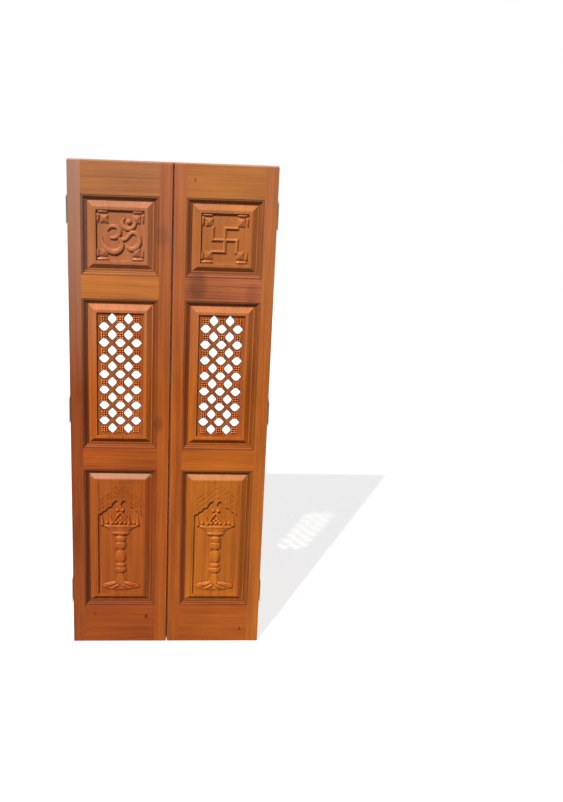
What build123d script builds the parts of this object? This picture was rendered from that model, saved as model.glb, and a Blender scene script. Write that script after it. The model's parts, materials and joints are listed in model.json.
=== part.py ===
"""Pair of carved temple door leaves on butt hinges, in millimetres.

X runs across the pair, the carved faces look along -Y and the leaves stand on Z = 0.
Each leaf is made of stiles, rails and panels; each hinge of two plates and a pin.
"""
import os
from math import hypot, sqrt

from build123d import *

# The pair
DOOR_WIDTH = 762.0
DOOR_HEIGHT = 1981.0
THICKNESS = 38.0
MEETING_GAP = 3.2          # between the two leaves, half way through their thickness
MEETING_LEAD = 1.3         # the meeting edges slant by this much, closing towards the back
STILE_FLAT = 47.2          # flat face of a stile beside its mouldings

# Heights of the rails' flat faces, from the top down
TOP_RAIL = 120.0
FRIEZE_RAIL = 88.0
LOCK_RAIL = 88.0
BOTTOM_RAIL = 168.0

# The three openings share the height that the rails leave
TOP_SHARE = 0.197
MIDDLE_SHARE = 0.399

# Moulding worked on the edges round an opening: inward run and depth below the face
FILLET_STEP = 2.0
OVOLO_START = 3.0
OVOLO_END = 10.0
OVOLO_DEPTH = 7.5
COVE_START = 12.5
COVE_STEP = 9.0
COVE_END = 19.0
MOULDING_WIDTH = 20.5
MOULDING_DEPTH = 13.0
ARRIS = 1.0                # rounded arris of the meeting edges

# Joinery
GROOVE_WIDTH = 6.0
GROOVE_DEPTH = 10.0
TONGUE_PLAY = 0.2          # each side of a panel's tongue in its groove
EDGE_PLAY = 1.0            # beside and above a panel, which stands on the groove below it
TENON_THICKNESS = 12.0
TENON_LENGTH = 36.0
TENON_SHOULDER = 16.0      # rail above and below its tenon
TENON_PLAY = 0.1
TENON_END_PLAY = 1.5

# Raised panels: everything is measured from the edge of the opening and from the face
BEVEL_START = 21.0
BEVEL_END = 40.0
CREST_DEPTH = 2.0
CREST_END = 54.3           # where the recess, the lattice or the carved field begins
RECESS_DEPTH = 13.0        # ground of the two top panels
SPANDREL_DEPTH = 4.0       # field above the arch of a lamp panel
NICHE_DEPTH = 12.0         # ground under the arch

# Lattice board of a middle panel
LATTICE_DEPTH = 11.0       # front of the bars below the face
LATTICE_THICKNESS = 11.0
LATTICE_LAP = 7.0          # rebate that the board lies in
LATTICE_PLAY = 0.3
LATTICE_BAR = 14.0
ROSETTE_RADIUS = 14.4
ROSETTE_RISE = 2.5
LATTICE_COLUMNS = 5
LATTICE_ROWS = 15

# Hinges
HINGE_HEIGHT = 100.0
HINGE_OFF_RAIL = 62.0      # middle of an outer hinge from the rail next to it
PLATE_THICKNESS = 3.0
PLATE_WIDTH = 30.0
JAMB_GAP = 3.0             # leaf edge to the frame it hangs in
KNUCKLE_RADIUS = 5.5
KNUCKLES = 5
KNUCKLE_PLAY = 0.3         # between knuckles, and from knuckle to wood
PIN_RADIUS = 3.0
PIN_PLAY = 0.1
PIN_HEAD = 3.0
SCREW_PITCH = 34.0
SCREW_RADIUS = 2.1
SCREW_HEAD_RADIUS = 4.2
SCREW_HEAD_DEPTH = 1.8
SCREW_LENGTH = 25.0
PILOT_PLAY = 0.15          # round the shank in the wood
HOLE_PLAY = 0.4            # round the shank in a plate, whose countersink seats the head

# Worked out
LEAF_WIDTH = (DOOR_WIDTH - MEETING_GAP) / 2
OPENING_WIDTH = LEAF_WIDTH - 2 * STILE_FLAT
DEPTH = THICKNESS + KNUCKLE_PLAY + 2 * KNUCKLE_RADIUS
LEAF_Y = (THICKNESS - DEPTH) / 2              # middle plane of the leaves
LEAF_X = (MEETING_GAP + LEAF_WIDTH) / 2       # middle of a leaf
HALF = THICKNESS / 2
GROOVE_FOOT = MOULDING_WIDTH - GROOVE_DEPTH    # from the edge of the opening
TONGUE = GROOVE_WIDTH / 2 - TONGUE_PLAY       # half a tongue's thickness
FIELD_WIDTH = OPENING_WIDTH - 2 * CREST_END

OPEN_HEIGHT = DOOR_HEIGHT - TOP_RAIL - FRIEZE_RAIL - LOCK_RAIL - BOTTOM_RAIL
TOP_OPENING = TOP_SHARE * OPEN_HEIGHT
MIDDLE_OPENING = MIDDLE_SHARE * OPEN_HEIGHT
BOTTOM_OPENING = OPEN_HEIGHT - TOP_OPENING - MIDDLE_OPENING

BOTTOM_SILL = BOTTOM_RAIL
BOTTOM_HEAD = BOTTOM_SILL + BOTTOM_OPENING
MIDDLE_SILL = BOTTOM_HEAD + LOCK_RAIL
MIDDLE_HEAD = MIDDLE_SILL + MIDDLE_OPENING
TOP_SILL = MIDDLE_HEAD + FRIEZE_RAIL
TOP_HEAD = TOP_SILL + TOP_OPENING

OPENINGS = [(BOTTOM_SILL, BOTTOM_HEAD), (MIDDLE_SILL, MIDDLE_HEAD), (TOP_SILL, TOP_HEAD)]
HINGE_CENTRES = (BOTTOM_SILL + HINGE_OFF_RAIL, MIDDLE_SILL + MIDDLE_OPENING / 4,
                 TOP_HEAD - HINGE_OFF_RAIL)
RAILS = {"bottom_rail": (0.0, BOTTOM_SILL), "lock_rail": (BOTTOM_HEAD, MIDDLE_SILL),
         "frieze_rail": (MIDDLE_HEAD, TOP_SILL), "top_rail": (TOP_HEAD, DOOR_HEIGHT)}


def front(depth):
    """Plane looking at the viewer, at a depth below the face of the leaf."""
    return Plane.XZ.offset(HALF - depth)


def carve(outline, depth, height):
    """Solid standing forward from a depth below the face; the outline is in X and Z."""
    return extrude(front(depth) * outline, height)


def slab(width, height, near, far):
    """Block between two depths below the face, centred on X = Z = 0."""
    return Pos(0, (near + far) / 2 - HALF, 0) * Box(width, far - near, height)


def face_of(*points):
    return Face(Wire.make_polygon(points, close=True))


def skin(rings):
    """Solid with flat faces through rings of points that follow one another."""
    faces = [face_of(*rings[0]), face_of(*rings[-1])]
    for near, far in zip(rings, rings[1:]):
        for i in range(len(near)):
            a, b = Vector(near[i - 1]), Vector(near[i])
            c, d = Vector(far[i]), Vector(far[i - 1])
            if abs((b - a).cross(d - a).dot(c - a)) < 1e-3:
                faces.append(face_of(a, b, c, d))
            else:
                faces += [face_of(a, b, c), face_of(a, c, d)]
    body = Solid(Shell(faces))
    return body if body.volume > 0 else -body


def hewn(foot, top, depth, height):
    """Form standing on a ground, its sides sloping from the outline foot to the outline top."""
    rings = [[(x, y, z) for x, z in outline]
             for outline, y in ((foot, depth - HALF), (top, depth - height - HALF))]
    return skin(rings)


def shrunk(outline, share):
    """The same outline drawn smaller about its own middle."""
    x0 = sum(x for x, _ in outline) / len(outline)
    z0 = sum(z for _, z in outline) / len(outline)
    return [(x0 + share * (x - x0), z0 + share * (z - z0)) for x, z in outline]


def rectangle(width, height):
    x, z = width / 2, height / 2
    return [(-x, -z), (x, -z), (x, z), (-x, z)]


def octagon(radius, x=0.0, z=0.0):
    """Corners of a regular octagon with flat sides left, right, above and below."""
    short = radius * (sqrt(2) - 1) / sqrt(4 - 2 * sqrt(2))
    long = short * (1 + sqrt(2))
    quarter = [(long, -short), (long, short), (short, long), (-short, long)]
    return [(x + a, z + b) for a, b in quarter + [(-a, -b) for a, b in quarter]]


def frustum(width, height, inset, low, high):
    """Raised field: a rectangle at depth low that narrows by inset up to depth high."""
    return hewn(rectangle(width, height), rectangle(width - 2 * inset, height - 2 * inset),
                low, low - high)


# Frame of a leaf

def moulding_section():
    """Half of the worked edge, from the middle plane to the face, in Y and inward run."""
    lip = -GROOVE_WIDTH / 2
    face, back = -HALF, -STILE_FLAT / 8
    low, cove = face + MOULDING_DEPTH, face + COVE_STEP
    ovolo, fillet = face + OVOLO_DEPTH, face + FILLET_STEP
    groove = MOULDING_WIDTH - GROOVE_DEPTH
    edges = [
        Polyline((fillet, OVOLO_START), (fillet, 0), (face, 0), (face, back), (0, back),
                 (0, groove), (lip, groove), (lip, MOULDING_WIDTH), (low, MOULDING_WIDTH),
                 (low, COVE_END)),
        ThreePointArc((low, COVE_END), (low - 0.5, COVE_START + 3.2), (cove, COVE_START)),
        Polyline((cove, COVE_START), (cove, OVOLO_END), (ovolo, OVOLO_END)),
        ThreePointArc((ovolo, OVOLO_END), (ovolo - 3.9, OVOLO_END - 1.9),
                      (fillet, OVOLO_START)),
    ]
    half = make_face(edges)
    return half + mirror(half, Plane.YZ)


def moulding(length):
    """Worked edge along X with mitred ends; the opening lies above it."""
    bar = extrude(Plane.YZ * moulding_section(), length / 2, both=True)
    root = -STILE_FLAT / 8
    mitred = make_face(Polyline(
        (-length / 2, root), (length / 2, root), (length / 2, 0),
        (length / 2 - MOULDING_WIDTH, MOULDING_WIDTH),
        (MOULDING_WIDTH - length / 2, MOULDING_WIDTH), (-length / 2, 0), close=True))
    return bar & extrude(Plane.XZ * mitred, THICKNESS, both=True)


def tenon(bottom, top, side, play=0.0, end_play=0.0):
    """Tenon at one end of a rail, or with play the mortise that it fits."""
    height = top - bottom - 2 * TENON_SHOULDER
    length = TENON_LENGTH + end_play
    x = side * (OPENING_WIDTH + length) / 2
    return Pos(x, 0, (bottom + top) / 2) * Box(length, TENON_THICKNESS + 2 * play,
                                               height + 2 * play)


def rail(bottom, top):
    body = Pos(0, 0, (bottom + top) / 2) * Box(OPENING_WIDTH, THICKNESS, top - bottom)
    for side in (-1, 1):
        body += tenon(bottom, top, side)
    for sill, head in OPENINGS:
        if sill == top:
            body += Pos(0, 0, top) * moulding(OPENING_WIDTH)
        if head == bottom:
            body += Pos(0, 0, bottom) * Rot(0, 180, 0) * moulding(OPENING_WIDTH)
    return body


def stile(side):
    """Stile on the left (-1) or right (1) of a leaf, with its mortises."""
    x = side * (OPENING_WIDTH + STILE_FLAT) / 2
    body = Pos(x, 0, DOOR_HEIGHT / 2) * Box(STILE_FLAT, THICKNESS, DOOR_HEIGHT)
    for sill, head in OPENINGS:
        edge = Rot(0, -side * 90, 0) * moulding(head - sill)
        body += Pos(side * OPENING_WIDTH / 2, 0, (sill + head) / 2) * edge
    for bottom, top in RAILS.values():
        body -= tenon(bottom, top, side, TENON_PLAY, TENON_END_PLAY)
    return body


def meeting_stile(side):
    """Stile that meets the other leaf: its edge slants, so that it clears as it swings."""
    x = side * LEAF_WIDTH / 2
    lead = side * MEETING_LEAD
    plan = make_face(Polyline((x - lead, -HALF), (x + lead, HALF), (x - 4 * lead, HALF),
                              (x - 4 * lead, -HALF), close=True))
    edge = extrude(plan, DOOR_HEIGHT)
    arrises = edge.edges().filter_by(Axis.Z).group_by(Axis.Y)
    outer = [max(row, key=lambda e: side * e.center().X) for row in (arrises[0], arrises[-1])]
    edge = fillet(outer, ARRIS)
    spare = Pos(x, 0, DOOR_HEIGHT / 2) * Box(8 * MEETING_LEAD, THICKNESS, DOOR_HEIGHT)
    return stile(side) - spare + edge


def hinge_stile(side):
    """Stile with a gain and pilot holes for every hinge."""
    body = stile(side)
    edge = side * LEAF_WIDTH / 2
    for z in HINGE_CENTRES:
        body -= Pos(edge, HALF - PLATE_WIDTH / 2, z) * Box(2 * PLATE_THICKNESS,
                                                        PLATE_WIDTH, HINGE_HEIGHT)
        for y, dz in screw_places():
            body -= Pos(edge, y, z + dz) * Rot(0, 90, 0) * Cylinder(
                SCREW_RADIUS + PILOT_PLAY, 2 * (SCREW_LENGTH + 1))
    return body


# Panels, built about the middle of their opening

def raised_panel(height):
    """Panel with its tongue, bevelled and raised on both faces."""
    tongue_height = height - 2 * GROOVE_FOOT - 2 * EDGE_PLAY
    body = Pos(0, 0, -EDGE_PLAY) * Box(OPENING_WIDTH - 2 * GROOVE_FOOT - 2 * EDGE_PLAY,
                                       2 * TONGUE, tongue_height)
    raised = frustum(OPENING_WIDTH - 2 * BEVEL_START, height - 2 * BEVEL_START,
                     BEVEL_END - BEVEL_START, HALF, CREST_DEPTH)
    return body + raised + mirror(raised, Plane.XZ)


def knob(radius, depth, height):
    """Round boss on a ground, cut in facets."""
    steps = [(1.0, 0.0), (0.88, 0.6), (0.45, 1.0)]
    return skin([[(x, depth - HALF - height * rise, z) for x, z in octagon(radius * share)]
                 for share, rise in steps])


def corner_flower(scale):
    """Three leaves in the upper left corner of a recess, standing on its ground."""
    along = [(1, -1), (40, -2), (44, -6), (36, -12), (12, -13)]
    down = [(1, -1), (13, -12), (12, -36), (6, -45), (2, -40)]
    across = [(15, -15), (36, -18), (43, -46), (18, -38)]
    height = (RECESS_DEPTH - CREST_DEPTH) * 0.75
    body = None
    for points in (along, down, across):
        points = [(scale * x, scale * z) for x, z in points]
        leaf = hewn(points, shrunk(points, 0.7), RECESS_DEPTH + 1, height + 1)
        body = leaf if body is None else body + leaf
    return body


def square_panel(motif):
    """Top panel: a sunk square with a flower in each corner and a raised motif."""
    height = TOP_OPENING - 2 * CREST_END
    scale = FIELD_WIDTH / 176.0
    body = raised_panel(TOP_OPENING)
    body -= slab(FIELD_WIDTH, height, 0, RECESS_DEPTH)
    corner = Pos(-FIELD_WIDTH / 2, 0, height / 2) * corner_flower(scale)
    pair = [corner, mirror(corner, Plane.YZ)]
    for flower in pair + [mirror(each, Plane.XY) for each in pair]:
        body += flower
    return body + motif(scale)


def swastika(scale):
    """Four equal arms, each bent a quarter turn clockwise, with sloping sides."""
    outlines = []
    for inset in (0.0, 4.0):
        bar, reach = (6.5 - inset) * scale, (51.0 - inset) * scale
        arm = [(-bar, bar), (-bar, reach), (reach, reach), (reach, reach - 2 * bar),
               (bar, reach - 2 * bar)]
        points = []
        for _ in range(4):
            points += arm
            arm = [(z, -x) for x, z in arm]
        outlines.append(points)
    return Pos(0, 0, -5 * scale) * hewn(*outlines, RECESS_DEPTH + 0.5, 7.5)


# Brush strokes of the om, as middle line and half width, from the middle of the recess
OM_STROKES = [
    [(-45, 19, 3), (-39, 29, 5), (-25, 34, 6), (-11, 29, 6.5), (-4, 15, 6.5), (-9, 1, 6),
     (-21, -7, 5.5), (-37, -9, 4)],
    [(-68, -4, 1.5), (-65, -25, 5), (-55, -45, 8), (-39, -57, 8), (-19, -60, 8),
     (-2, -53, 7), (5, -39, 6), (3, -23, 5), (-6, -13, 5)],
    [(-6, -12, 5), (17, -13, 6), (29, -1, 6), (39, 11, 6), (51, 15, 6), (64, 6, 6),
     (70, -12, 6), (68, -30, 7), (58, -44, 7.5), (41, -50, 7), (26, -43, 5), (18, -31, 2)],
    [(19, 67, 1.5), (9, 58, 4), (7, 44, 6), (15, 32, 7), (31, 26, 7), (45, 34, 6),
     (53, 50, 4.5), (60, 63, 1.5)],
]
OM_DOT = (30.0, 53.0, 7.0)


def smooth(points, steps):
    """Points on a curve through the given ones, each pair of neighbours cut into steps."""
    padded = [points[0]] + points + [points[-1]]
    curve = []
    for a, b, c, d in zip(padded, padded[1:], padded[2:], padded[3:]):
        for i in range(steps):
            t = i / steps
            curve.append(tuple(
                q + 0.5 * t * (r - p + t * (2 * p - 5 * q + 4 * r - s
                                            + t * (3 * q - 3 * r + s - p)))
                for p, q, r, s in zip(a, b, c, d)))
    return curve + [points[-1]]


def brush(stroke, scale, share):
    """Outline of a stroke: its middle line moved out by a share of the half width each way."""
    left, right = [], []
    stroke = smooth(stroke, 2)
    for i, (x, z, half) in enumerate(stroke):
        x0, z0, _ = stroke[max(i - 1, 0)]
        x1, z1, _ = stroke[min(i + 1, len(stroke) - 1)]
        run = hypot(x1 - x0, z1 - z0) / (half * share)
        nx, nz = -(z1 - z0) / run, (x1 - x0) / run
        left.append((scale * (x + nx), scale * (z + nz)))
        right.append((scale * (x - nx), scale * (z - nz)))
    return left + right[::-1]


def om(scale):
    """The sign's four strokes and its dot."""
    x, z, radius = (scale * value for value in OM_DOT)
    body = Pos(x, 0, z) * knob(radius, RECESS_DEPTH + 0.5, 7.5)
    for stroke in OM_STROKES:
        body += hewn(brush(stroke, scale, 1.0), brush(stroke, scale, 0.6),
                     RECESS_DEPTH + 0.5, 8.0)
    return body


def lattice_frame():
    """Raised frame round the lattice, rebated from behind for the board."""
    height = MIDDLE_OPENING - 2 * CREST_END
    body = raised_panel(MIDDLE_OPENING)
    body -= slab(FIELD_WIDTH, height, 0, THICKNESS)
    return body - slab(FIELD_WIDTH + 2 * LATTICE_LAP, height + 2 * LATTICE_LAP,
                       LATTICE_DEPTH, THICKNESS)


def lattice():
    """Pierced board: crossed bars, with a rosette on every second crossing."""
    height = MIDDLE_OPENING - 2 * CREST_END
    step_x = FIELD_WIDTH / (LATTICE_COLUMNS + 0.8)
    step_z = height / (LATTICE_ROWS + 0.7)
    body = slab(FIELD_WIDTH + 2 * (LATTICE_LAP - LATTICE_PLAY),
                height + 2 * (LATTICE_LAP - LATTICE_PLAY),
                LATTICE_DEPTH, LATTICE_DEPTH + LATTICE_THICKNESS)
    reach_x = step_x - LATTICE_BAR / sqrt(2)
    reach_z = step_z - LATTICE_BAR / sqrt(2)
    tall = make_face(Polyline(
        (0, reach_z), (step_x - ROSETTE_RADIUS, 4.5), (step_x - ROSETTE_RADIUS, -4.5),
        (0, -reach_z), (ROSETTE_RADIUS - step_x, -4.5), (ROSETTE_RADIUS - step_x, 4.5),
        close=True))
    broad = make_face(Polyline(
        (reach_x, 0), (4.5, step_z - ROSETTE_RADIUS), (-4.5, step_z - ROSETTE_RADIUS),
        (-reach_x, 0), (-4.5, ROSETTE_RADIUS - step_z), (4.5, ROSETTE_RADIUS - step_z),
        close=True))
    holes, rosettes = [], []
    for row in range(LATTICE_ROWS):
        for column in range(LATTICE_COLUMNS):
            x = (column - (LATTICE_COLUMNS - 1) / 2) * step_x
            z = (row - (LATTICE_ROWS - 1) / 2) * step_z
            if row % 2 and not column % 2:
                holes.append(Pos(x, z) * broad)
            elif column % 2 and not row % 2:
                holes.append(Pos(x, z) * tall)
            elif not row % 2:
                rosettes.append((x, z))
    cutter = extrude(front(0) * Sketch(children=holes), -2 * THICKNESS)
    body -= cutter
    rise = ROSETTE_RISE + 0.5
    for x, z in rosettes:
        body += hewn(octagon(ROSETTE_RADIUS, x, z), octagon(ROSETTE_RADIUS - rise, x, z),
                     LATTICE_DEPTH + 0.5, rise)
    return body


# Arch over the lamp: distance from the middle line and drop from its crown, one side
ARCH = [(4, 13), (15, 0), (32, 15), (38, 29), (54, 35), (62, 45), (75, 59)]
ARCH_SPRING = 64.0
ARCH_TOP = 80.0            # crown below the head of the field

# Lamp: height below the crown of the arch, half width and relief at each turn of the outline
LAMP = [
    (112, 68, 5), (116, 70, 7), (121, 70, 7), (126, 60, 6), (138, 40, 6), (143, 34, 6),
    (144, 36, 8), (154, 34, 8), (156, 10, 4), (163, 12, 4), (166, 21, 8), (184, 21, 8),
    (189, 15, 5), (192, 22, 8), (206, 22, 8), (216, 22, 8), (219, 10, 4), (228, 9, 4),
    (240, 20, 7), (272, 22, 8), (283, 12, 4), (287, 20, 8), (301, 20, 8), (303, 16, 6),
    (306, 24, 9), (322, 24, 9), (329, 12, 4), (336, 11, 4), (339, 13, 5), (372, 24, 7),
    (380, 28, 7),
]
# Flat forms of the lamp, from the crown of the arch down
HOOD = [(2, -58), (-24, -102), (-16, -112), (18, -112), (26, -102)]
FOOT = [(-26, -378), (-77, -384), (-80, -392), (-66, -399), (-34, -405), (0, -407),
        (34, -405), (66, -399), (80, -392), (77, -384), (26, -378)]
FOOT_PETAL = [(24, -370), (60, -376), (74, -388), (52, -396), (30, -392)]
RIM_BUDS = 7
FLAMES = (-70, -36, 36, 70)
FLAME = [(-6, -112), (6, -112), (2.5, -90), (0, -74), (-2.5, -90)]


def lamp_levels(k):
    """Lamp from its bowl down to its foot, with its rounded front cut in facets."""
    rounding = [(-1, 0), (-0.9, 0.44), (-0.6, 0.8), (-0.2, 0.98), (0.2, 0.98), (0.6, 0.8),
                (0.9, 0.44), (1, 0)]
    return skin([[(half * k * across, NICHE_DEPTH - HALF - relief * out, -drop * k)
                  for across, out in rounding] for drop, half, relief in LAMP])


def lamp_panel():
    """Bottom panel: a niche under a scalloped arch, with a standing oil lamp in it."""
    height = BOTTOM_OPENING - 2 * CREST_END
    k = min(height / 504.4, FIELD_WIDTH / 176.0)
    crown = height / 2 - ARCH_TOP * k
    body = raised_panel(BOTTOM_OPENING)
    body -= slab(FIELD_WIDTH, height, 0, SPANDREL_DEPTH)
    side = [(x * k, crown - drop * k) for x, drop in ARCH]
    side.append((FIELD_WIDTH / 2, crown - ARCH_SPRING * k))
    side.append((FIELD_WIDTH / 2, -height / 2))
    niche = make_face(Polyline(side + [(-x, z) for x, z in reversed(side)], close=True))
    body -= carve(niche, NICHE_DEPTH, NICHE_DEPTH)
    lamp = lamp_levels(k)
    for x in FLAMES:
        flame = [((x + a) * k, b * k) for a, b in FLAME]
        lamp += hewn(flame, shrunk(flame, 0.3), NICHE_DEPTH + 0.5, 6)
    for x in (-12, 8):
        lamp += Pos(x * k, 0, -46 * k) * knob(6.5 * k, NICHE_DEPTH + 0.5, 7)
    for outline, share in ((HOOD, 0.75), (FOOT, 0.92)):
        points = [(x * k, z * k) for x, z in outline]
        lamp += hewn(points, shrunk(points, share), NICHE_DEPTH + 0.5, 7)
    for i in range(RIM_BUDS):
        x = (i - (RIM_BUDS - 1) / 2) * 18
        lamp += Pos(x * k, 0, -102 * k) * knob(8 * k, NICHE_DEPTH + 0.5, 6)
    for side in (-1, 1):
        petal = [(side * x * k, z * k) for x, z in FOOT_PETAL]
        lamp += hewn(petal, shrunk(petal, 0.6), NICHE_DEPTH + 0.5, 8.5)
    return body + Pos(0, 0, crown) * lamp


# Hinges, built about the middle of the pin for the left-hand leaf

def screw_places():
    """Y in the leaf, and height from the middle of the hinge."""
    y = HALF - PLATE_WIDTH * 0.55
    return [(y, -SCREW_PITCH), (y, 0.0), (y, SCREW_PITCH)]


def knuckle_span(i):
    """Bottom and top of a knuckle; only its ends next to another one have play."""
    length = HINGE_HEIGHT / KNUCKLES
    bottom = i * length - HINGE_HEIGHT / 2
    play = KNUCKLE_PLAY / 2
    return bottom + play * (i > 0), bottom + length - play * (i < KNUCKLES - 1)


PIN_Y = HALF + KNUCKLE_PLAY + KNUCKLE_RADIUS          # from the leaf's middle plane


def hinge_plate(side, knuckles):
    """Plate on the leaf (1) or on the frame (-1), with the knuckles that it carries."""
    inner = JAMB_GAP / 2
    x = side * (inner + PLATE_THICKNESS / 2)
    body = Pos(x, (HALF - PLATE_WIDTH + PIN_Y) / 2 - PIN_Y, 0) * Box(
        PLATE_THICKNESS, PLATE_WIDTH + PIN_Y - HALF, HINGE_HEIGHT)
    for i in range(KNUCKLES):
        bottom, top = knuckle_span(i)
        middle = Pos(0, 0, (bottom + top) / 2)
        if i in knuckles:
            body += middle * Cylinder(KNUCKLE_RADIUS, top - bottom)
        else:
            clear = 2 * (KNUCKLE_RADIUS + KNUCKLE_PLAY)
            body -= middle * Box(clear, clear, top - bottom + 2 * KNUCKLE_PLAY)
    body -= Cylinder(PIN_RADIUS + PIN_PLAY, HINGE_HEIGHT)
    for y, z in screw_places():
        at = Pos(side * inner, y - PIN_Y, z) * Rot(0, side * 90, 0)
        body -= at * Cylinder(SCREW_RADIUS + HOLE_PLAY, 4 * PLATE_THICKNESS)
        body -= at * countersink()
    return body


def hinge_pin():
    length = HINGE_HEIGHT
    body = Cylinder(PIN_RADIUS, length)
    for end in (-1, 1):
        z = end * (length + PIN_HEAD) / 2
        body += Pos(0, 0, z) * Cylinder(KNUCKLE_RADIUS - 0.5, PIN_HEAD)
    return body


def countersink():
    """Cone of a screw's head, also the seat that it lies in, narrowing along +Z."""
    return Pos(0, 0, SCREW_HEAD_DEPTH / 2) * Cone(
        SCREW_HEAD_RADIUS, SCREW_RADIUS, SCREW_HEAD_DEPTH)


def screw():
    """Countersunk screw pointing along +X, its head at X = 0."""
    shank = Pos(0, 0, SCREW_LENGTH / 2) * Cylinder(SCREW_RADIUS, SCREW_LENGTH)
    return Rot(0, 90, 0) * (countersink() + shank)


# Putting the pair together

def build():
    rails = {name: rail(bottom, top) for name, (bottom, top) in RAILS.items()}
    lower, middle, upper = [Pos(0, 0, (sill + head) / 2) for sill, head in OPENINGS]
    shared = {"lamp_panel": lower * lamp_panel(), "lattice_frame": middle * lattice_frame(),
              "lattice": middle * lattice(), **rails}
    parts = {}
    for name, side, motif, word in (("left", -1, om, "om"), ("right", 1, swastika, "swastika")):
        at = Pos(side * LEAF_X, LEAF_Y, 0)
        parts[name + "_hinge_stile"] = at * hinge_stile(side)
        parts[name + "_meeting_stile"] = at * meeting_stile(-side)
        parts[word + "_panel"] = at * upper * square_panel(motif)
        for piece, shape in shared.items():
            parts[name + "_" + piece] = at * shape
        leaf_plate = hinge_plate(-side, range(1, KNUCKLES, 2))
        frame_plate = hinge_plate(side, range(0, KNUCKLES, 2))
        pin = hinge_pin()
        one_screw = Rot(0, 0, 0 if side < 0 else 180) * screw()
        screws = []
        for place, z in zip(("bottom", "middle", "top"), HINGE_CENTRES):
            axis = Pos(side * (DOOR_WIDTH + JAMB_GAP) / 2, LEAF_Y + PIN_Y, z)
            prefix = name + "_" + place + "_hinge_"
            parts[prefix + "leaf_plate"] = axis * leaf_plate
            parts[prefix + "frame_plate"] = axis * frame_plate
            parts[prefix + "pin"] = axis * pin
            for y, dz in screw_places():
                screws.append(Pos(side * DOOR_WIDTH / 2, LEAF_Y + y, z + dz) * one_screw)
        parts[name + "_hinge_screws"] = Compound(children=screws)
    return parts


os.makedirs("parts", exist_ok=True)
for node, solid in build().items():
    export_step(solid, "parts/" + node + ".step")
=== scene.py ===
import json
import random
from math import atan2, cos, hypot, pi, radians, sin

import bmesh
import bpy
from mathutils import Matrix, Vector

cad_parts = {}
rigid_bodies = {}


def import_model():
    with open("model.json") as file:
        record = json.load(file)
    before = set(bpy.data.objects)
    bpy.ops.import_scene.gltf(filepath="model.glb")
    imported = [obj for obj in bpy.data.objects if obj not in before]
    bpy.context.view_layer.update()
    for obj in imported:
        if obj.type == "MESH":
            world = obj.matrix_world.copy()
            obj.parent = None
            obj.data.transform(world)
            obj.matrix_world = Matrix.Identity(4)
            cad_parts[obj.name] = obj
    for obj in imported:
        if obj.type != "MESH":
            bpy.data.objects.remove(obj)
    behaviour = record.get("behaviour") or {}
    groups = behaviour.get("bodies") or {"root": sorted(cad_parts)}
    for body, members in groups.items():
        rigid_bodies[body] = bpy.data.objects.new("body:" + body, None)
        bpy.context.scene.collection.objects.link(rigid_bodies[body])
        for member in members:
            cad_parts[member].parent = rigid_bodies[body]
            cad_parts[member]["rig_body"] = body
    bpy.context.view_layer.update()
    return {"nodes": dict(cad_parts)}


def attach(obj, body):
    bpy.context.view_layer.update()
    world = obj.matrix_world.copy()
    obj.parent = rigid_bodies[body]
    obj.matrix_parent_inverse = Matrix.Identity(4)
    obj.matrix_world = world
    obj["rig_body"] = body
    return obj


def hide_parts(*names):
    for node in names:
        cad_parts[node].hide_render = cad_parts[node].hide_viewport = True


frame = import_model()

# A pair of carved temple door leaves: the carved face looks along -Y. Lengths here are in mm.
MM = 0.001
FACE = -24.65                    # y of the leaves' carved face
LEAF_X = 191.3                   # middle of a leaf from the middle of the pair
FIELD = 176.4                    # width inside the crest of a raised panel
# Middle and height of the openings, their mouldings included
LOWER = (474.435, 612.87)        # lamp panels
MIDDLE = (1171.51, 605.28)       # lattices
UPPER = (1711.575, 298.85)       # om and swastika
CREST_END = 54.3                 # field or lattice from the edge of the opening
RECESS = 13.0                    # depth of the sunk squares below the face
NICHE = 12.0                     # depth of the lamps' niches below the face

scene = bpy.context.scene
rng = random.Random(11)


# Working by hand

def deselect():
    """Back to object mode with nothing selected."""
    if bpy.context.object and bpy.context.object.mode != "OBJECT":
        bpy.ops.object.mode_set(mode="OBJECT")
    bpy.ops.object.select_all(action="DESELECT")


def hold(*pieces):
    """Selects these pieces; the first is the one worked on."""
    deselect()
    for piece in pieces:
        piece.select_set(True)
    bpy.context.view_layer.objects.active = pieces[0]
    return pieces[0]


def edit(piece):
    """Opens the piece in edit mode."""
    hold(piece)
    bpy.ops.object.mode_set(mode="EDIT")


def done():
    """Leaves edit mode and gives back the piece."""
    bpy.ops.object.mode_set(mode="OBJECT")
    return bpy.context.object


def pick(kind, test):
    """In edit mode, selects the faces, edges or vertices of the piece that pass the test."""
    mesh = bpy.context.object.data
    shape = bmesh.from_edit_mesh(mesh)
    modes = {"VERT": shape.verts, "EDGE": shape.edges, "FACE": shape.faces}
    bpy.ops.mesh.select_mode(type=kind)
    bpy.ops.mesh.select_all(action="DESELECT")
    for element in modes[kind]:
        element.select_set(bool(test(element)))
    shape.select_flush_mode()
    bmesh.update_edit_mesh(mesh)


def everything():
    """Selects the whole piece in edit mode."""
    bpy.ops.mesh.select_all(action="SELECT")


def extrude(y=0.0, z=0.0):
    """Draws the selected faces out by that many mm."""
    bpy.ops.mesh.extrude_region_move(TRANSFORM_OT_translate={"value": (0, y * MM, z * MM)})


def face_out():
    """Turns every face of the piece in hand outwards and leaves edit mode."""
    everything()
    bpy.ops.mesh.normals_make_consistent(inside=False)
    return done()


def name_it(name):
    """Names the piece in hand and its mesh."""
    piece = bpy.context.object
    piece.name = name
    piece.data.name = name
    return piece


def settle(size=None):
    """Puts the place, turn and size of the piece into its mesh."""
    if size:
        bpy.context.object.scale = size
    bpy.ops.object.transform_apply(location=True, rotation=True, scale=True)
    return bpy.context.object


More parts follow.
